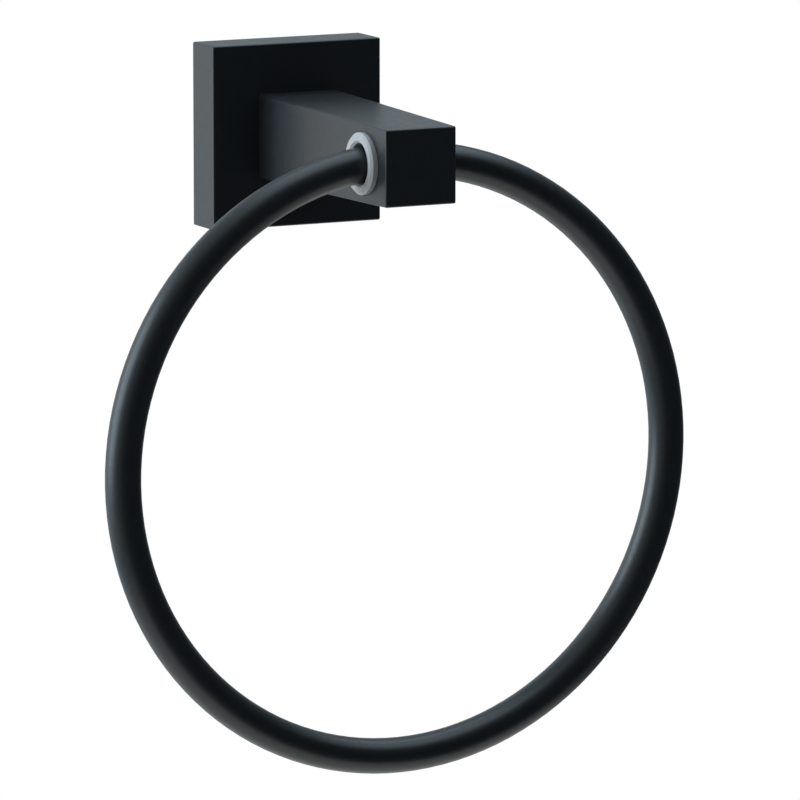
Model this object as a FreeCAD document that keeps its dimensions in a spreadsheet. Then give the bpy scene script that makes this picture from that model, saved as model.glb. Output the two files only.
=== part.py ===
import FreeCAD, Part
import math
import os
import Sketcher

# Wall-mounted towel ring. A hollow square plate covers a steel bracket that is screwed to the
# wall. A square post, a little narrower towards its front end, is screwed to the plate from
# behind. An open ring of round bar hangs from the post: its two ends turn in flanged nylon
# bushings, one in a blind socket on each side of the post.
# Frame: millimetres, X to the right, Y into the wall, Z up. The origin lies on the wall, at the
# middle of the plate's back.

doc = FreeCAD.newDocument("TowelRing")
sizes = doc.addObject("Spreadsheet::Sheet", "Sizes")

DIMENSIONS = (
    ("plate_size", 50.0, "width and height of the wall plate"),
    ("plate_depth", 13.0, "how far the plate stands off the wall"),
    ("plate_front_wall", 3.0, "wall behind the plate's front face"),
    ("plate_side_wall", 2.5, "walls round the plate's hollow back"),
    ("plate_edge_round", 0.5, "rounding of the plate's outer edges"),
    ("plate_hollow_round", 2.0, "corners of the plate's hollow back"),
    ("post_length", 76.0, "from the plate's face to the post's front end"),
    ("post_rear_size", 23.0, "post's width and height at the plate"),
    ("post_front_size", 20.5, "post's width and height at its front end"),
    ("post_edge_round", 0.5, "rounding of the post's edges"),
    ("hinge_setback", 13.0, "ring's axis behind the post's front end"),
    ("socket_web", 3.0, "metal left between the post's two sockets"),
    ("spot_face_depth", 0.5, "flat seat cut in the post's side for a flange"),
    ("spot_face_clearance", 0.15, "round a bushing's flange, radial"),
    ("ring_diameter", 160.0, "ring across, from bar centre to bar centre"),
    ("ring_bar_diameter", 9.5, "thickness of the ring's round bar"),
    ("ring_end_gap", 0.5, "between a bar end and the web in the post"),
    ("bushing_wall", 1.0, "wall of a bushing's sleeve"),
    ("bushing_flange_diameter", 16.5, "flange of a bushing"),
    ("bushing_flange_thickness", 2.2, "flange of a bushing, along the axis"),
    ("bushing_edge_bevel", 0.6, "bevel of a flange's outer edge and bore"),
    ("bushing_end_gap", 0.3, "between a sleeve's inner end and the web"),
    ("bushing_fit_clearance", 0.05, "between a sleeve and its socket, radial"),
    ("running_clearance", 0.25, "between the bar and a sleeve, radial"),
    ("post_screw_diameter", 5.0, "screw that holds the post"),
    ("post_screw_bite", 12.0, "its length inside the post"),
    ("post_screw_head_diameter", 9.2, "its pan head"),
    ("post_screw_head_height", 3.4, "its pan head"),
    ("post_screw_head_bevel", 1.1, "crown of its pan head"),
    ("post_screw_slot_length", 5.0, "arms of its cross recess"),
    ("post_screw_slot_width", 1.1, "arms of its cross recess"),
    ("post_screw_slot_depth", 1.9, "its cross recess"),
    ("post_screw_hole_clearance", 0.25, "in the plate, radial"),
    ("thread_clearance", 0.05, "between a screw and its tapped hole, radial"),
    ("tapped_hole_spare", 2.0, "tapped depth beyond the screw's end"),
    ("washer_diameter", 9.0, "split washer under the screw's head"),
    ("washer_thickness", 1.2, "split washer"),
    ("washer_split", 1.0, "gap in the split washer"),
    ("pip_diameter", 3.0, "pip on the post's rear that stops it turning"),
    ("pip_length", 1.6, "locating pip"),
    ("pip_offset", 7.5, "locating pip, above the screw"),
    ("pip_clearance", 0.1, "round and past the pip in the plate"),
    ("bracket_width", 36.0, "wall bracket"),
    ("bracket_thickness", 2.0, "steel sheet of the wall bracket"),
    ("bracket_flange", 7.0, "bent edges of the bracket, off the wall"),
    ("bracket_bend_round", 1.0, "inside of the bracket's bends"),
    ("wall_hole_diameter", 4.5, "holes for the wall screws"),
    ("wall_hole_spacing", 25.0, "between the holes for the wall screws"),
    ("set_screw_diameter", 4.0, "screw that locks the plate to the bracket"),
    ("set_screw_length", 6.0, "set screw"),
    ("set_screw_recess", 0.4, "set screw, below the plate's underside"),
    ("set_screw_tip", 0.8, "cone at the set screw's tip"),
    ("set_screw_socket", 2.0, "its hexagon socket, across the flats"),
    ("set_screw_socket_depth", 2.2, "its hexagon socket"),
    ("set_screw_from_wall", 5.0, "set screw's axis off the wall"),
    ("boss_diameter", 8.0, "boss in the plate round the set screw"),
    ("boss_height", 2.6, "boss, above the hollow's lower wall"),
)
for row, (alias, value, note) in enumerate(DIMENSIONS, start=1):
    sizes.set(f"A{row}", alias)
    sizes.set(f"B{row}", str(value))
    sizes.set(f"C{row}", note)
    sizes.setAlias(f"B{row}", alias)
doc.recompute()


# Working expressions, each from the sheet's own values
def named(alias):
    return f"Sizes.{alias}"


HALF_PLATE = "Sizes.plate_size / 2"
HALF_HOLLOW = "(Sizes.plate_size / 2 - Sizes.plate_side_wall)"
HOLLOW_DEPTH = "(Sizes.plate_depth - Sizes.plate_front_wall)"
HINGE_REACH = "(Sizes.plate_depth + Sizes.post_length - Sizes.hinge_setback)"
POST_TAPER = "((Sizes.post_rear_size - Sizes.post_front_size) / Sizes.post_length)"
POST_HALF_AT_HINGE = f"((Sizes.post_front_size + {POST_TAPER} * Sizes.hinge_setback) / 2)"
SEAT_HALF = f"({POST_HALF_AT_HINGE} - Sizes.spot_face_depth)"
FLANGE_HALF = f"({SEAT_HALF} + Sizes.bushing_flange_thickness)"
RING_RADIUS = "(Sizes.ring_diameter / 2)"
BAR_RADIUS = "(Sizes.ring_bar_diameter / 2)"
# The bar is curved and its bushings are straight, so their bore has room for the bar's sag
BAR_SAG = f"({RING_RADIUS} - sqrt({RING_RADIUS} ^ 2 - {FLANGE_HALF} ^ 2))"
BORE_RADIUS = f"({BAR_RADIUS} + {BAR_SAG} / 2 + Sizes.running_clearance)"
SLEEVE_RADIUS = f"({BORE_RADIUS} + Sizes.bushing_wall)"
SOCKET_RADIUS = f"({SLEEVE_RADIUS} + Sizes.bushing_fit_clearance)"
FLANGE_RADIUS = "(Sizes.bushing_flange_diameter / 2)"
SPOT_FACE_RADIUS = f"({FLANGE_RADIUS} + Sizes.spot_face_clearance)"
SLEEVE_END = "(Sizes.socket_web / 2 + Sizes.bushing_end_gap)"
BAR_END = "(Sizes.socket_web / 2 + Sizes.ring_end_gap)"
RING_CENTRE_HEIGHT = f"({BAR_SAG} / 2 - {RING_RADIUS})"
SCREW_RADIUS = "(Sizes.post_screw_diameter / 2)"
TAPPED_RADIUS = f"({SCREW_RADIUS} + Sizes.thread_clearance)"
CLEARANCE_HOLE_RADIUS = f"({SCREW_RADIUS} + Sizes.post_screw_hole_clearance)"
HEAD_SEAT = f"({HOLLOW_DEPTH} - Sizes.washer_thickness)"
SET_SCREW_FOOT = "(Sizes.plate_size / 2 - Sizes.set_screw_recess)"
SET_SCREW_TOP = f"({SET_SCREW_FOOT} - Sizes.set_screw_length)"


def value_of(expression):
    """The number that an expression over the sheet gives, in millimetres or degrees."""
    result = sizes.evalExpression(expression)
    return float(getattr(result, "Value", result))


# Helpers for bodies, sketches and edges
def new_body(label):
    body = doc.addObject("PartDesign::Body", label)
    body.Label = label
    return body


def new_sketch(body, role, name, offset=("0", "0", "0")):
    """A sketch on one of the body's own planes, moved by expressions along the plane's axes."""
    plane = next(f for f in body.Origin.OriginFeatures if f.Role == role)
    sketch = body.newObject("Sketcher::SketchObject", name)
    sketch.AttachmentSupport = (plane, "")
    sketch.MapMode = "FlatFace"
    for axis, expression in zip("xyz", offset):
        if expression != "0":
            sketch.setExpression(f"AttachmentOffset.Base.{axis}", expression)
    doc.recompute()
    return sketch


def drive(sketch, constraint, expression):
    """Adds a dimension to a sketch and ties it to an expression."""
    index = sketch.addConstraint(constraint)
    sketch.setExpression(f"Constraints[{index}]", expression)


def pin_point(sketch, geometry, position, across, up):
    """Holds a point at a place given by two expressions from the sketch's origin."""
    for kind, expression, axis in (("DistanceX", across, -2), ("DistanceY", up, -1)):
        if expression == "0":
            sketch.addConstraint(Sketcher.Constraint("PointOnObject", geometry, position, axis))
        else:
            start = value_of(expression)
            tie = Sketcher.Constraint(kind, -1, 1, geometry, position, start)
            drive(sketch, tie, expression)


def add_polygon(sketch, corners):
    """A closed outline of straight lines; each corner is a pair of expressions."""
    places = [FreeCAD.Vector(value_of(a), value_of(b), 0) for a, b in corners]
    count = len(corners)
    lines = [
        sketch.addGeometry(Part.LineSegment(places[i], places[(i + 1) % count]), False)
        for i in range(count)
    ]
    for i, line in enumerate(lines):
        following = lines[(i + 1) % count]
        sketch.addConstraint(Sketcher.Constraint("Coincident", line, 2, following, 1))
    for line, (across, up) in zip(lines, corners):
        pin_point(sketch, line, 1, across, up)


def add_square(sketch, half_side):
    add_polygon(
        sketch,
        (
            (f"-({half_side})", f"-({half_side})"),
            (half_side, f"-({half_side})"),
            (half_side, half_side),
            (f"-({half_side})", half_side),
        ),
    )


def add_circle(sketch, radius, across="0", up="0"):
    centre = FreeCAD.Vector(value_of(across), value_of(up), 0)
    circle = sketch.addGeometry(
        Part.Circle(centre, FreeCAD.Vector(0, 0, 1), value_of(radius)), False
    )
    pin_point(sketch, circle, 3, across, up)
    drive(sketch, Sketcher.Constraint("Radius", circle, value_of(radius)), radius)


def add_hexagon(sketch, half_flats):
    """A regular hexagon about the sketch's origin with two corners on its horizontal axis."""
    corner = f"({half_flats} / cos(30 deg))"
    corners = []
    for turned in range(0, 360, 60):
        up = "0" if turned % 180 == 0 else f"({corner} * sin({turned} deg))"
        corners.append((f"({corner} * cos({turned} deg))", up))
    add_polygon(sketch, corners)


def pad(body, sketch, name, length, backwards=False, both_ways=False):
    feature = body.newObject("PartDesign::Pad", name)
    feature.Profile = sketch
    feature.Reversed = backwards
    feature.Midplane = both_ways
    feature.setExpression("Length", length)
    return shown(feature, grows=True)


def pocket(body, sketch, name, length, backwards=False, both_ways=False):
    feature = body.newObject("PartDesign::Pocket", name)
    feature.Profile = sketch
    feature.Reversed = backwards
    feature.Midplane = both_ways
    feature.setExpression("Length", length)
    return shown(feature, grows=False)


def turn(body, sketch, name, kind="Revolution", angle="360 deg", axis="H_Axis", both_ways=False):
    """A revolved feature about one of its sketch's own axes."""
    feature = body.newObject(f"PartDesign::{kind}", name)
    feature.Profile = sketch
    feature.ReferenceAxis = (sketch, [axis])
    feature.Midplane = both_ways
    feature.setExpression("Angle", angle)
    return shown(feature, grows=kind == "Revolution")


def soften(body, name, kind, size_name, chosen):
    """Rounds or bevels the edges of the body's last feature for which chosen is true."""
    base = body.Tip
    edges = [f"Edge{i}" for i, e in enumerate(base.Shape.Edges, start=1) if chosen(e)]
    if not edges:
        raise RuntimeError(f"{body.Label}: {name} found no edge")
    feature = body.newObject(f"PartDesign::{kind}", name)
    feature.Base = (base, edges)
    feature.setExpression("Radius" if kind == "Fillet" else "Size", named(size_name))
    return shown(feature)


def shown(feature, grows=None):
    """Recomputes, and stops if the feature changed nothing, or added where it should cut."""
    doc.recompute()
    before = feature.BaseFeature.Shape.Volume if feature.BaseFeature else 0.0
    change = feature.Shape.Volume - before
    if change == 0 or grows not in (None, change > 0):
        raise RuntimeError(f"{feature.Label} changed the volume by {change:.4f}")
    return feature


def middle(edge):
    return edge.valueAt((edge.FirstParameter + edge.LastParameter) / 2)


def is_near(first, second):
    return abs(first - second) < 1e-4


def is_circle(edge):
    return isinstance(edge.Curve, Part.Circle)


# Wall plate: a square cover, hollow at the back
def make_wall_plate():
    body = new_body("wall_plate")
    outline = new_sketch(body, "XZ_Plane", "PlateOutline")
    add_square(outline, HALF_PLATE)
    pad(body, outline, "PlateBlock", named("plate_depth"))
    back_is = 0.0
    soften(
        body, "PlateEdges", "Fillet", "plate_edge_round",
        lambda e: not all(is_near(v.Point.y, back_is) for v in e.Vertexes),
    )
    hollow = new_sketch(body, "XZ_Plane", "HollowOutline")
    add_square(hollow, HALF_HOLLOW)
    pocket(body, hollow, "Hollow", HOLLOW_DEPTH, backwards=True)
    half_hollow = value_of(HALF_HOLLOW)
    soften(
        body, "HollowCorners", "Fillet", "plate_hollow_round",
        lambda e: is_near(abs(middle(e).x), half_hollow) and is_near(abs(middle(e).z), half_hollow),
    )
    # The set screw's boss stands on the hollow's lower wall
    middle_of_wall = f"-({HALF_HOLLOW} + Sizes.plate_side_wall / 2)"
    boss = new_sketch(body, "XY_Plane", "BossOutline", ("0", "0", middle_of_wall))
    add_circle(boss, "Sizes.boss_diameter / 2", up="-Sizes.set_screw_from_wall")
    pad(body, boss, "Boss", "Sizes.plate_side_wall / 2 + Sizes.boss_height")
    tapped = new_sketch(body, "XY_Plane", "SetScrewHoleOutline", ("0", "0", f"-({HALF_PLATE})"))
    tapped_radius = "Sizes.set_screw_diameter / 2 + Sizes.thread_clearance"
    add_circle(tapped, tapped_radius, up="-Sizes.set_screw_from_wall")
    pocket(
        body, tapped, "SetScrewHole", "2 * (Sizes.plate_side_wall + Sizes.boss_height)",
        backwards=True, both_ways=True,
    )
    screw_hole = new_sketch(body, "XZ_Plane", "PostScrewHoleOutline", ("0", "0", named("plate_depth")))
    add_circle(screw_hole, CLEARANCE_HOLE_RADIUS)
    add_circle(screw_hole, "Sizes.pip_diameter / 2 + Sizes.pip_clearance", up=named("pip_offset"))
    pocket(body, screw_hole, "PostScrewHole", "Sizes.pip_length + Sizes.pip_clearance")
    face = ("0", "0", named("plate_depth"))
    through = new_sketch(body, "XZ_Plane", "PostScrewThroughOutline", face)
    add_circle(through, CLEARANCE_HOLE_RADIUS)
    pocket(body, through, "PostScrewThrough", "Sizes.plate_front_wall + Sizes.thread_clearance")
    return body


# Post: a tapered square bar with a bushed socket in each side
def make_post():
    body = new_body("post")
    bar = body.newObject("PartDesign::AdditiveWedge", "PostBar")
    bar.setExpression("Ymin", "-(Sizes.plate_depth + Sizes.post_length)")
    bar.setExpression("Ymax", "-Sizes.plate_depth")
    for axis in "XZ":
        bar.setExpression(f"{axis}min", "-Sizes.post_front_size / 2")
        bar.setExpression(f"{axis}max", "Sizes.post_front_size / 2")
        bar.setExpression(f"{axis}2min", "-Sizes.post_rear_size / 2")
        bar.setExpression(f"{axis}2max", "Sizes.post_rear_size / 2")
    shown(bar, grows=True)
    rear_is = -value_of("Sizes.plate_depth")
    soften(
        body, "PostEdges", "Fillet", "post_edge_round",
        lambda e: not all(is_near(v.Point.y, rear_is) for v in e.Vertexes),
    )
    sockets = new_sketch(body, "XY_Plane", "SocketProfile", ("0", f"-{HINGE_REACH}", "0"))
    clear_of_side = "Sizes.post_rear_size"
    web_face = "(Sizes.socket_web / 2)"
    for side in ("", "-"):
        add_polygon(
            sockets,
            (
                (f"{side}{web_face}", "0"),
                (f"{side}{clear_of_side}", "0"),
                (f"{side}{clear_of_side}", SPOT_FACE_RADIUS),
                (f"{side}{SEAT_HALF}", SPOT_FACE_RADIUS),
                (f"{side}{SEAT_HALF}", SOCKET_RADIUS),
                (f"{side}{web_face}", SOCKET_RADIUS),
            ),
        )
    turn(body, sockets, "Sockets", kind="Groove")
    tapped = new_sketch(body, "XZ_Plane", "TappedHoleOutline", ("0", "0", named("plate_depth")))
    add_circle(tapped, TAPPED_RADIUS)
    tapped_depth = "Sizes.post_screw_bite + Sizes.tapped_hole_spare"
    pocket(body, tapped, "TappedHole", tapped_depth, backwards=True)
    pip = new_sketch(body, "XZ_Plane", "PipOutline", ("0", "0", named("plate_depth")))
    add_circle(pip, "Sizes.pip_diameter / 2", up=named("pip_offset"))
    pad(body, pip, "Pip", named("pip_length"), backwards=True)
    return body


# Ring: one round bar bent into a circle, open where its ends enter the post
def make_ring():
    body = new_body("ring")
    section = new_sketch(body, "YZ_Plane", "BarSection", ("0", RING_CENTRE_HEIGHT, "0"))
    add_circle(section, BAR_RADIUS, across=f"-{HINGE_REACH}", up=f"-{RING_RADIUS}")
    opening = f"2 * asin({BAR_END} / {RING_RADIUS})"
    turn(body, section, "BentBar", angle=f"360 deg - {opening}", both_ways=True)
    return body


# Bushings: flanged nylon sleeves, one from each side of the post
def make_bushing(label, side):
    body = new_body(label)
    name = label.title().replace("_", "")
    profile = new_sketch(body, "XY_Plane", f"{name}Profile", ("0", f"-{HINGE_REACH}", "0"))
    add_polygon(
        profile,
        (
            (f"{side}{SLEEVE_END}", BORE_RADIUS),
            (f"{side}{FLANGE_HALF}", BORE_RADIUS),
            (f"{side}{FLANGE_HALF}", FLANGE_RADIUS),
            (f"{side}{SEAT_HALF}", FLANGE_RADIUS),
            (f"{side}{SEAT_HALF}", SLEEVE_RADIUS),
            (f"{side}{SLEEVE_END}", SLEEVE_RADIUS),
        ),
    )
    turn(body, profile, f"{name}Sleeve")
    face_at = value_of(FLANGE_HALF)
    soften(
        body, f"{name}Bevels", "Chamfer", "bushing_edge_bevel",
        lambda e: is_circle(e) and is_near(abs(e.Curve.Center.x), face_at),
    )
    return body


# Screw and split washer that pull the post against the plate
def make_post_screw():
    body = new_body("post_screw")
    profile = new_sketch(body, "XY_Plane", "ScrewProfile")
    head_radius = "(Sizes.post_screw_head_diameter / 2)"
    head_back = f"-({HEAD_SEAT} - Sizes.post_screw_head_height)"
    tip = "-(Sizes.plate_depth + Sizes.post_screw_bite)"
    add_polygon(
        profile,
        (
            ("0", tip),
            (SCREW_RADIUS, tip),
            (SCREW_RADIUS, f"-{HEAD_SEAT}"),
            (head_radius, f"-{HEAD_SEAT}"),
            (head_radius, head_back),
            ("0", head_back),
        ),
    )
    turn(body, profile, "ScrewBlank", axis="V_Axis")
    back_at = value_of(head_back)
    soften(
        body, "HeadCrown", "Chamfer", "post_screw_head_bevel",
        lambda e: is_circle(e) and is_near(e.Curve.Center.y, back_at),
    )
    recess = new_sketch(body, "XZ_Plane", "CrossOutline", ("0", "0", f"-({head_back})"))
    arm = "(Sizes.post_screw_slot_length / 2)"
    half_width = "(Sizes.post_screw_slot_width / 2)"
    quarter = ((arm, half_width), (half_width, half_width), (half_width, arm))
    corners = []
    for across, up in ((1, 1), (-1, 1), (-1, -1), (1, -1)):
        signed = [
            (a if across > 0 else f"-{a}", b if up > 0 else f"-{b}") for a, b in quarter
        ]
        corners += signed if across * up > 0 else signed[::-1]
    add_polygon(recess, corners)
    pocket(body, recess, "CrossRecess", named("post_screw_slot_depth"), backwards=True)
    return body


def make_lock_washer():
    body = new_body("lock_washer")
    profile = new_sketch(body, "XY_Plane", "WasherProfile")
    inner = f"({SCREW_RADIUS} + Sizes.post_screw_hole_clearance)"
    outer = "(Sizes.washer_diameter / 2)"
    add_polygon(
        profile,
        (
            (inner, f"-{HOLLOW_DEPTH}"),
            (outer, f"-{HOLLOW_DEPTH}"),
            (outer, f"-{HEAD_SEAT}"),
            (inner, f"-{HEAD_SEAT}"),
        ),
    )
    split = f"(Sizes.washer_split / {outer} * 180 deg / pi)"
    turn(body, profile, "SplitWasher", angle=f"360 deg - {split}", axis="V_Axis")
    return body


# Bracket: steel sheet with its upper and lower edges bent off the wall
def make_wall_bracket():
    body = new_body("wall_bracket")
    profile = new_sketch(body, "YZ_Plane", "BracketProfile")
    top = HALF_HOLLOW
    bottom = f"-{SET_SCREW_TOP}"
    sheet = named("bracket_thickness")
    edge = "-Sizes.bracket_flange"
    add_polygon(
        profile,
        (
            ("0", bottom),
            ("0", top),
            (edge, top),
            (edge, f"({top} - {sheet})"),
            (f"-{sheet}", f"({top} - {sheet})"),
            (f"-{sheet}", f"({bottom} + {sheet})"),
            (edge, f"({bottom} + {sheet})"),
            (edge, bottom),
        ),
    )
    pad(body, profile, "BentSheet", named("bracket_width"), both_ways=True)
    inside_face = -value_of(sheet)
    inside_edges = (value_of(f"{top} - {sheet}"), value_of(f"{bottom} + {sheet}"))
    soften(
        body, "BendsInside", "Fillet", "bracket_bend_round",
        lambda e: is_near(middle(e).y, inside_face)
        and any(is_near(middle(e).z, z) for z in inside_edges),
    )
    outer_edges = (value_of(top), value_of(bottom))
    soften(
        body, "BendsOutside", "Fillet", "bracket_thickness",
        lambda e: is_near(middle(e).y, 0) and any(is_near(middle(e).z, z) for z in outer_edges),
    )
    holes = new_sketch(body, "XZ_Plane", "WallHolesOutline")
    for side in ("", "-"):
        across = f"{side}Sizes.wall_hole_spacing / 2"
        add_circle(holes, "Sizes.wall_hole_diameter / 2", across=across)
    pocket(body, holes, "WallHoles", "4 * Sizes.bracket_thickness", both_ways=True)
    return body


# Set screw: a grub screw in the plate's underside that locks it to the bracket
def make_set_screw():
    body = new_body("set_screw")
    off_wall = ("0", "0", named("set_screw_from_wall"))
    profile = new_sketch(body, "XZ_Plane", "SetScrewProfile", off_wall)
    radius = "(Sizes.set_screw_diameter / 2)"
    add_polygon(
        profile,
        (
            ("0", f"-{SET_SCREW_FOOT}"),
            (radius, f"-{SET_SCREW_FOOT}"),
            (radius, f"-({SET_SCREW_TOP} + Sizes.set_screw_tip)"),
            (f"({radius} - Sizes.set_screw_tip)", f"-{SET_SCREW_TOP}"),
            ("0", f"-{SET_SCREW_TOP}"),
        ),
    )
    turn(body, profile, "SetScrewBlank", axis="V_Axis")
    socket = new_sketch(
        body, "XY_Plane", "SetScrewSocketOutline",
        ("0", "-Sizes.set_screw_from_wall", f"-{SET_SCREW_FOOT}"),
    )
    add_hexagon(socket, "(Sizes.set_screw_socket / 2)")
    pocket(body, socket, "SetScrewSocket", named("set_screw_socket_depth"), backwards=True)
    return body


PIECES = [
    make_wall_plate(),
    make_post(),
    make_ring(),
    make_bushing("bushing_left", "-"),
    make_bushing("bushing_right", ""),
    make_post_screw(),
    make_lock_washer(),
    make_wall_bracket(),
    make_set_screw(),
]
doc.recompute()


# Checks before anything is written
for item in doc.Objects:
    if "Invalid" in item.State or "Error" in item.State:
        raise RuntimeError(f"{item.Label} did not build: {item.State}")
for piece in PIECES:
    if piece.Shape.isNull() or not piece.Shape.isValid() or len(piece.Shape.Solids) != 1:
        raise RuntimeError(f"{piece.Label} is not one valid solid")

hinge_reach = value_of(HINGE_REACH)
swing_reach = value_of(f"{RING_RADIUS} - {RING_CENTRE_HEIGHT}")
to_wall = math.degrees(math.asin((hinge_reach - value_of(BAR_RADIUS)) / swing_reach))
print(f"Hinge {hinge_reach:.2f} mm off the wall; the ring meets the wall at {to_wall:.1f} degrees")
print(f"Bore radius {value_of(BORE_RADIUS):.3f}, socket radius {value_of(SOCKET_RADIUS):.3f} mm")

os.makedirs("parts", exist_ok=True)
for piece in PIECES:
    piece.Shape.exportStep(f"parts/{piece.Label}.step")
    box = piece.Shape.optimalBoundingBox()
    span = f"{box.XLength:.2f} x {box.YLength:.2f} x {box.ZLength:.2f} mm"
    print(f"{piece.Label}: {span}, {piece.Shape.Volume:.1f} mm3")
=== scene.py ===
# %% [markdown]
# # A black towel ring, dressed for its picture
#
# The metal and plastic pieces come from an exact solid model, so their shapes are already right.
# What they lack is a surface. This lesson gives each piece the finish that the real one has:
# powder coat on the plate, the post and the ring, moulded nylon in the sleeves that the ring turns
# in, and plated steel on the hidden fixings. Then it sets up a floor, soft light and a camera.

# %% Load the solid model
import math

import bmesh
import bpy
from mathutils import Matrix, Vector

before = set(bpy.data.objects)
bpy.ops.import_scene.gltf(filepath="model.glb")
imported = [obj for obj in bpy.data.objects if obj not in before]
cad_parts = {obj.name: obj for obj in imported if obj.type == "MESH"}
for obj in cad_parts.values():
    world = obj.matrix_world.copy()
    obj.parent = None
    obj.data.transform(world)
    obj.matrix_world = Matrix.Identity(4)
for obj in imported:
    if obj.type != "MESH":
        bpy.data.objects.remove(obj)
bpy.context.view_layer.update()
MM = 0.001

print("pieces:", sorted(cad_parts))

# %% [markdown]
# ## Three small tools
#
# Colours are easiest to pick as the hex values that a picture editor shows, but shaders work with
# linear light, so one function turns the first into the second. A second function adds a shader
# node with its settings and its links in one go. A third turns a real size in millimetres into the
# scale of a noise pattern: object coordinates are in metres, and a noise texture of scale 1 has
# features about one unit wide.

# %% Colour, node and pattern-size helpers


def colour(hex_value):
    """Linear colour, with full opacity, from an sRGB hex value such as #1A1A1C."""
    channels = [int(hex_value[place:place + 2], 16) / 255 for place in (1, 3, 5)]
    linear = [c / 12.92 if c <= 0.04045 else ((c + 0.055) / 1.055) ** 2.4 for c in channels]
    return (*linear, 1.0)


def add_node(tree, kind, inputs, **settings):
    """Adds a node, sets it up, and fills its sockets with values or links from other nodes."""
    node = tree.nodes.new(kind)
    for name, value in settings.items():
        setattr(node, name, value)
    for socket, value in inputs.items():
        if isinstance(value, bpy.types.NodeSocket):
            tree.links.new(value, node.inputs[socket])
        else:
            node.inputs[socket].default_value = value
    return node


def scale_for(feature_mm):
    """Noise scale, in object coordinates, for features of a real width in millimetres."""
    return 1 / (feature_mm * MM)


print("paper white in linear light:", [round(c, 3) for c in colour("#F4F4F2")[:3]])
print("noise scale for 2 mm features:", round(scale_for(2)))


# %% [markdown]
# ## A blank material
#
# Every finish starts from the same two nodes: the object coordinates that its patterns are laid
# out in, and an empty material to build on. Object coordinates stay on the piece when it moves,
# and they need no unwrapping, which suits small hard parts like these.

# %% Start a material and give it to pieces


def start_material(name):
    """A new empty material: gives the material, its node tree and its object coordinates."""
    material = bpy.data.materials.new(name)
    material.use_nodes = True
    tree = material.node_tree
    tree.nodes.clear()
    place = add_node(tree, "ShaderNodeTexCoord", {}).outputs["Object"]
    return material, tree, place


def finish_material(tree, surface):
    """Connects the finished shader to the material's output."""
    add_node(tree, "ShaderNodeOutputMaterial", {"Surface": surface.outputs[0]})


def dress(material, *names):
    """Puts a material on pieces of the solid model, by name."""
    for name in names:
        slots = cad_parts[name].data.materials
        slots.clear()
        slots.append(material)
        print(name, "wears", material.name)


# %% [markdown]
# ## Satin black powder coat
#
# The plate, the post and the ring are steel and zinc parts sprayed with black polyester powder and
# baked. The powder melts into a skin about 0.08 mm thick. It gives the eye three things: a black
# that is never quite zero, a soft sheen that grows strong at a grazing view, and very shallow
# waves, called orange peel, a millimetre or two wide, with a finer grain on top.
#
# It could be one flat colour with a roughness, but then a long flat face looks like computer
# plastic. Two layers of noise break up the sheen instead: the wide one bends the surface and
# changes the roughness a little, and the fine one is the grain of the powder.

# %% Powder coat


def powder_coat(name, black, roughness, peel_mm):
    """Baked polyester powder: black skin, satin sheen, shallow orange peel and a fine grain."""
    grain_mm = 0.35  # real grains are about 0.05 mm, too fine to show, so they are drawn wider
    peel_deep_mm, grain_deep_mm = 0.006, 0.003
    uneven = 0.03  # the roughness wanders by this much either way
    material, tree, place = start_material(name)
    peel = add_node(tree, "ShaderNodeTexNoise",
                    {"Vector": place, "Scale": scale_for(peel_mm), "Detail": 2.0,
                     "Roughness": 0.5})
    grain = add_node(tree, "ShaderNodeTexNoise",
                     {"Vector": place, "Scale": scale_for(grain_mm), "Detail": 3.0,
                      "Roughness": 0.6})
    sheen = add_node(tree, "ShaderNodeMapRange",
                     {"Value": peel.outputs["Fac"], "From Min": 0.3, "From Max": 0.7,
                      "To Min": roughness - uneven, "To Max": roughness + uneven})
    tone = add_node(tree, "ShaderNodeValToRGB", {"Fac": grain.outputs["Fac"]})
    tone.color_ramp.elements[0].color = colour(black[0])
    tone.color_ramp.elements[1].color = colour(black[1])
    tone.color_ramp.elements[0].position = 0.3
    tone.color_ramp.elements[1].position = 0.7
    waves = add_node(tree, "ShaderNodeBump",
                     {"Height": peel.outputs["Fac"], "Strength": 1.0,
                      "Distance": peel_deep_mm * MM})
    skin = add_node(tree, "ShaderNodeBump",
                    {"Height": grain.outputs["Fac"], "Strength": 1.0,
                     "Distance": grain_deep_mm * MM, "Normal": waves.outputs["Normal"]})
    surface = add_node(tree, "ShaderNodeBsdfPrincipled",
                       {"Base Color": tone.outputs["Color"], "Roughness": sheen.outputs["Result"],
                        "IOR": 1.5, "Normal": skin.outputs["Normal"]})
    finish_material(tree, surface)
    return material


plate_coat = powder_coat("Satin black powder coat on cast zinc", ("#16181B", "#1E2124"),
                         roughness=0.37, peel_mm=2.2)
ring_coat = powder_coat("Satin black powder coat on steel bar", ("#15171A", "#1C1F22"),
                        roughness=0.37, peel_mm=1.6)
dress(plate_coat, "wall_plate", "post")
dress(ring_coat, "ring")

# %% [markdown]
# ## Natural nylon
#
# The sleeves that the ring turns in are injection-moulded nylon with no dye. Undyed nylon is a
# milky pale grey, a touch warm, which cool lamps turn neutral. Light goes in a fraction of a
# millimetre and comes out again, which softens small shadows. Plain diffuse paint would look like
# chalk, so a little subsurface scattering is used, with a moulded, half-matt skin on top.

# %% Nylon sleeves
SKIN_MM, SKIN_DEEP_MM = 0.5, 0.004
LIGHT_REACH_MM = 0.6  # how far light travels inside before it comes out again

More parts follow.
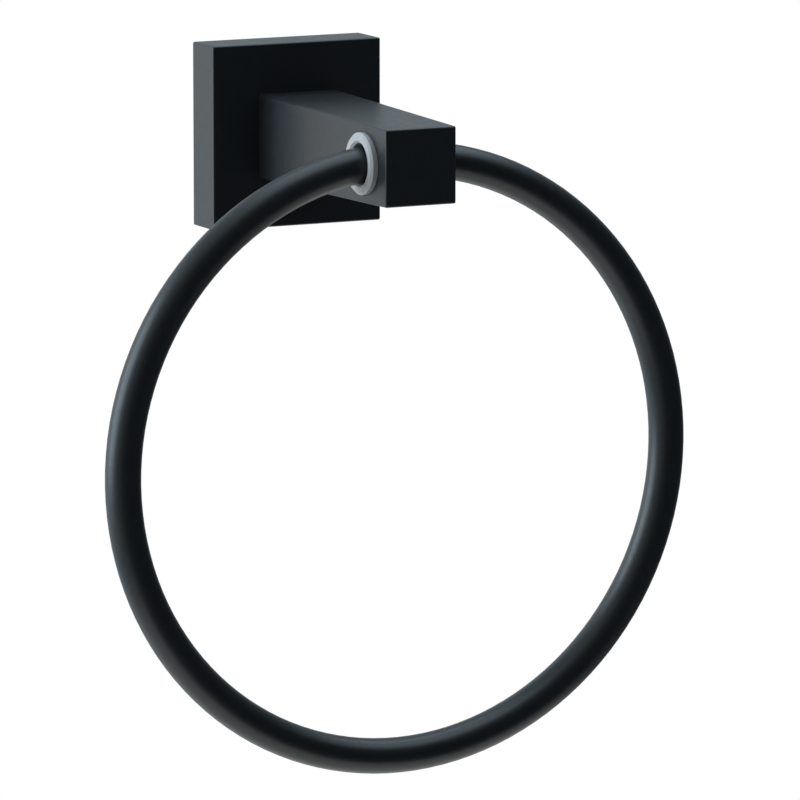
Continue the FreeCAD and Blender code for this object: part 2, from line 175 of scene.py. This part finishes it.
nylon, nylon_tree, nylon_place = start_material("Natural moulded nylon")
mould_skin = add_node(nylon_tree, "ShaderNodeTexNoise",
                      {"Vector": nylon_place, "Scale": scale_for(SKIN_MM), "Detail": 2.0})
mould_tone = add_node(nylon_tree, "ShaderNodeValToRGB", {"Fac": mould_skin.outputs["Fac"]})
mould_tone.color_ramp.elements[0].color = colour("#B2ABAA")
mould_tone.color_ramp.elements[1].color = colour("#BFB7B5")
mould_grain = add_node(nylon_tree, "ShaderNodeBump",
                       {"Height": mould_skin.outputs["Fac"], "Strength": 1.0,
                        "Distance": SKIN_DEEP_MM * MM})
nylon_surface = add_node(nylon_tree, "ShaderNodeBsdfPrincipled",
                         {"Base Color": mould_tone.outputs["Color"], "Roughness": 0.45,
                          "IOR": 1.53, "Subsurface Weight": 0.25,
                          "Subsurface Scale": LIGHT_REACH_MM * MM,
                          "Normal": mould_grain.outputs["Normal"]})
finish_material(nylon_tree, nylon_surface)
dress(nylon, "bushing_left", "bushing_right")

# %% [markdown]
# ## Steel fixings
#
# Behind the plate, where only the fitter looks, the steel is bare or thinly plated. Zinc plate is
# a bright, slightly blue metal with a cloudy sheen, because its crystals grow in patches a few
# millimetres wide. Sheet steel also keeps the fine lines that the rolling mill drew along it. A
# spring washer is only oiled, so it is darker, and a grub screw is dipped to turn it black.
#
# All four are the same idea, a metal whose roughness wanders, so one function makes them. The
# rolling lines are the same noise, squeezed across the sheet and stretched along it.

# %% Metal finishes


def steel_finish(name, shades, roughness, cloud_mm, line_mm=None):
    """Metal with cloudy patches and, on rolled sheet, fine lines along X."""
    mark_mm = line_mm or 0.6
    mark_deep_mm, uneven = 0.004, 0.08
    along_line = 0.03  # squeezes the pattern's X, so each mark is drawn out about 30 times
    material, tree, place = start_material(name)
    clouds = add_node(tree, "ShaderNodeTexNoise",
                      {"Vector": place, "Scale": scale_for(cloud_mm), "Detail": 3.0})
    tone = add_node(tree, "ShaderNodeValToRGB", {"Fac": clouds.outputs["Fac"]})
    tone.color_ramp.elements[0].color = colour(shades[0])
    tone.color_ramp.elements[1].color = colour(shades[1])
    marks_at = place
    if line_mm:
        stretched = add_node(tree, "ShaderNodeMapping",
                             {"Vector": place, "Scale": (along_line, 1, 1)})
        marks_at = stretched.outputs["Vector"]
    marks = add_node(tree, "ShaderNodeTexNoise",
                     {"Vector": marks_at, "Scale": scale_for(mark_mm), "Detail": 2.0})
    sheen = add_node(tree, "ShaderNodeMapRange",
                     {"Value": marks.outputs["Fac"], "From Min": 0.25, "From Max": 0.75,
                      "To Min": roughness - uneven, "To Max": roughness + uneven})
    relief = add_node(tree, "ShaderNodeBump",
                      {"Height": marks.outputs["Fac"], "Strength": 1.0,
                       "Distance": mark_deep_mm * MM})
    surface = add_node(tree, "ShaderNodeBsdfPrincipled",
                       {"Base Color": tone.outputs["Color"], "Metallic": 1.0,
                        "Roughness": sheen.outputs["Result"], "Normal": relief.outputs["Normal"]})
    finish_material(tree, surface)
    return material


dress(steel_finish("Bright zinc plate on turned steel", ("#BFC1C4", "#D2D4D6"),
                   roughness=0.30, cloud_mm=2.0), "post_screw")
dress(steel_finish("Zinc plate on rolled sheet steel", ("#A3A6AB", "#CDD0D4"),
                   roughness=0.34, cloud_mm=3.0, line_mm=0.4), "wall_bracket")
dress(steel_finish("Oiled spring steel", ("#77797D", "#8B8D91"),
                   roughness=0.36, cloud_mm=1.5), "lock_washer")
dress(steel_finish("Black oxide on alloy steel", ("#2B2B2E", "#38383B"),
                   roughness=0.38, cloud_mm=1.0), "set_screw")

# %% [markdown]
# ## Floor
#
# The ring is fixed to a wall in use, but in its picture nothing stands behind it. A plain pale
# floor lies well below it. It is one flat sheet built from four corners. Lit by the lamps it is
# a pale grey. What the camera sees of it, directly, in a sheen or through glass, is topped up with
# a little light of its own, just as far as white, so that it joins the background with no edge and
# still takes the object's shadow.

# %% Pale floor
FLOOR_BELOW = 0.9
FLOOR_REACH = 0.95
FLOOR_TOP_UP = 0.52
FIBRE_MM = 3
WARM_WHITE = "#FFE4D0"  # the lamps are cool, so the two together make a neutral white

floor_mesh = bpy.data.meshes.new("floor")
sheet = bmesh.new()
corners = [sheet.verts.new((x * FLOOR_REACH, y * FLOOR_REACH, 0))
           for x, y in ((-1, -1), (1, -1), (1, 1), (-1, 1))]
sheet.faces.new(corners)
sheet.to_mesh(floor_mesh)
sheet.free()
floor = bpy.data.objects.new("floor", floor_mesh)
floor.location.z = -FLOOR_BELOW
bpy.context.scene.collection.objects.link(floor)

floor_paper, floor_tree, floor_place = start_material("Matt white paper floor")
fibres = add_node(floor_tree, "ShaderNodeTexNoise",
                  {"Vector": floor_place, "Scale": scale_for(FIBRE_MM), "Detail": 2.0})
fibre_tone = add_node(floor_tree, "ShaderNodeValToRGB", {"Fac": fibres.outputs["Fac"]})
fibre_tone.color_ramp.elements[0].color = colour("#E9E9E7")
fibre_tone.color_ramp.elements[1].color = colour("#F4F4F2")
paper = add_node(floor_tree, "ShaderNodeBsdfPrincipled",
                 {"Base Color": fibre_tone.outputs["Color"], "Roughness": 0.9, "IOR": 1.45})
ray = add_node(floor_tree, "ShaderNodeLightPath", {}).outputs
through_glass = add_node(floor_tree, "ShaderNodeMath",
                         {0: ray["Is Camera Ray"], 1: ray["Is Transmission Ray"]},
                         operation="ADD")
looks_on = add_node(floor_tree, "ShaderNodeMath",
                    {0: through_glass.outputs["Value"], 1: ray["Is Glossy Ray"]},
                    operation="ADD", use_clamp=True)
top_up = add_node(floor_tree, "ShaderNodeMath",
                  {0: looks_on.outputs["Value"], 1: FLOOR_TOP_UP}, operation="MULTIPLY")
own_light = add_node(floor_tree, "ShaderNodeEmission",
                     {"Color": colour(WARM_WHITE), "Strength": top_up.outputs["Value"]})
lit_paper = add_node(floor_tree, "ShaderNodeAddShader",
                     {0: paper.outputs["BSDF"], 1: own_light.outputs["Emission"]})
finish_material(floor_tree, lit_paper)
floor_mesh.materials.append(floor_paper)
print("floor lies", FLOOR_BELOW, "m below the middle of the wall plate")

# %% [markdown]
# ## Light
#
# A black object shows its shape mostly by what it mirrors, so the light is laid out for its
# reflections. A soft dome is bright behind the object and to its left, and falls away towards the
# front and the right. Faces that look left or up catch the bright part. The faces that look at the
# camera catch the dim part, and stay black.
#
# The dome is the world's own light, which has no hard edges. Its strength comes from how far each
# direction lies from the brightest one, and it is a little cooler where it is bright, as daylight
# lamps are. What the camera sees directly or through glass is plain white, and so is the heart of
# the bright side, where the backdrop stands, when a sheen mirrors it.

# %% Studio dome
BRIGHTEST = Vector((-0.62, 0.76, 0.12)).normalized()
DIM, BRIGHT, FALL_OFF = 0.065, 1.0, 1.1
RISE_FROM, BACKDROP_FROM = -0.45, 0.8  # cosines of the angle from the brightest direction
COOL_FROM = 0.55  # the share of the rise after which the light turns cooler
PLAIN_LIGHT, COOL_LIGHT = "#EAF8FF", "#D8EFFC"

world = bpy.data.worlds.new("Soft studio dome")
world.use_nodes = True
bpy.context.scene.world = world
dome = world.node_tree
dome.nodes.clear()
direction = add_node(dome, "ShaderNodeTexCoord", {}).outputs["Generated"]
nearness = add_node(dome, "ShaderNodeVectorMath", {0: direction, 1: BRIGHTEST},
                    operation="DOT_PRODUCT")
rise = add_node(dome, "ShaderNodeMapRange",
                {"Value": nearness.outputs["Value"], "From Min": RISE_FROM, "From Max": 1.0,
                 "To Min": 0.0, "To Max": 1.0})
curve = add_node(dome, "ShaderNodeMath", {0: rise.outputs["Result"], 1: FALL_OFF},
                 operation="POWER")
strength = add_node(dome, "ShaderNodeMath",
                    {0: curve.outputs["Value"], 1: BRIGHT - DIM, 2: DIM}, operation="MULTIPLY_ADD")
tint = add_node(dome, "ShaderNodeValToRGB", {"Fac": rise.outputs["Result"]})
tint.color_ramp.elements[0].color = colour(PLAIN_LIGHT)
tint.color_ramp.elements[1].color = colour(COOL_LIGHT)
tint.color_ramp.elements[0].position = COOL_FROM
soft_light = add_node(dome, "ShaderNodeBackground",
                      {"Color": tint.outputs["Color"], "Strength": strength.outputs["Value"]})
backdrop = add_node(dome, "ShaderNodeBackground", {"Color": (1, 1, 1, 1), "Strength": 1.0})
ray = add_node(dome, "ShaderNodeLightPath", {}).outputs
behind = add_node(dome, "ShaderNodeMapRange",
                  {"Value": nearness.outputs["Value"], "From Min": BACKDROP_FROM,
                   "From Max": 1.0},
                  interpolation_type="SMOOTHSTEP")
in_sheen = add_node(dome, "ShaderNodeMath",
                    {0: ray["Is Glossy Ray"], 1: behind.outputs["Result"]}, operation="MULTIPLY")
through_glass = add_node(dome, "ShaderNodeMath",
                         {0: ray["Is Camera Ray"], 1: ray["Is Transmission Ray"]},
                         operation="ADD")
looks_on = add_node(dome, "ShaderNodeMath",
                    {0: through_glass.outputs["Value"], 1: in_sheen.outputs["Value"]},
                    operation="ADD", use_clamp=True)
seen_world = add_node(dome, "ShaderNodeMixShader",
                      {0: looks_on.outputs["Value"], 1: soft_light.outputs[0],
                       2: backdrop.outputs[0]})
add_node(dome, "ShaderNodeOutputWorld", {"Surface": seen_world.outputs[0]})
print("dome light runs from", DIM, "to", BRIGHT)

# %% [markdown]
# ## Soft boxes
#
# Two large soft boxes add what the dome leaves out. The one at the left stands a little behind the
# object. It draws the pale streak along the bar's left side, which is what tells the eye that the
# bar is round. It also brings up the left sides of the plate and the post, and as the plate stands
# in its way, the post's side fades to black beside the plate. The one overhead draws a fainter
# line along the inside of the ring's foot, and lights the top of the nylon.
#
# A lamp's power is spread over its area and over half of all directions, so the power is worked
# out from how bright each panel should look, with paper white as 1.

# %% Soft boxes at the left and overhead


def add_soft_box(name, towards, away, side, brightness):
    """A square panel of light that faces the object from one direction, unseen by the camera."""
    panel = bpy.data.lights.new(name, "AREA")
    panel.shape = "SQUARE"
    panel.size = side
    panel.energy = brightness * math.pi * side ** 2
    panel.color = colour(COOL_LIGHT)[:3]
    stand = bpy.data.objects.new(name, panel)
    stand.location = away * towards
    stand.rotation_euler = towards.to_track_quat("Z", "Y").to_euler()
    stand.visible_camera = False
    bpy.context.scene.collection.objects.link(stand)
    print(name, "gives", round(panel.energy, 1), "W")


add_soft_box("left soft box", Vector((-0.92, 0.31, 0.19)).normalized(),
             away=1.6, side=1.35, brightness=4.1)
add_soft_box("overhead soft box", Vector((0.30, -0.02, 0.95)).normalized(),
             away=1.5, side=1.8, brightness=2.1)

# %% [markdown]
# ## Camera
#
# The picture was taken from the left and a little above, from far enough away that parallel edges
# stay almost parallel. So the camera stands well back with a long lens. Its angles are given the
# way a surveyor would: an azimuth round the object and an elevation above the floor.

# %% Camera
AZIMUTH_LEFT = math.radians(26)
ELEVATION = math.radians(9.4)
STAND_OFF = 2.0
IMAGE_PIXELS = 800
PIXELS_PER_MM = 3.66
AIM = Vector((27.5 * MM, -20 * MM, -74 * MM))
SENSOR_MM = 36

towards_camera = Vector((-math.sin(AZIMUTH_LEFT) * math.cos(ELEVATION),
                         -math.cos(AZIMUTH_LEFT) * math.cos(ELEVATION),
                         math.sin(ELEVATION)))
lens = bpy.data.cameras.new("long lens")
lens.sensor_width = SENSOR_MM
lens.lens = SENSOR_MM * STAND_OFF / MM * PIXELS_PER_MM / IMAGE_PIXELS
lens.dof.use_dof = False
camera = bpy.data.objects.new("camera", lens)
camera.location = AIM + STAND_OFF * towards_camera
camera.rotation_euler = towards_camera.to_track_quat("Z", "Y").to_euler()
bpy.context.scene.collection.objects.link(camera)
bpy.context.scene.camera = camera
bpy.context.scene.view_settings.view_transform = "Standard"
print("lens in mm:", round(lens.lens, 1), "at", STAND_OFF, "m")
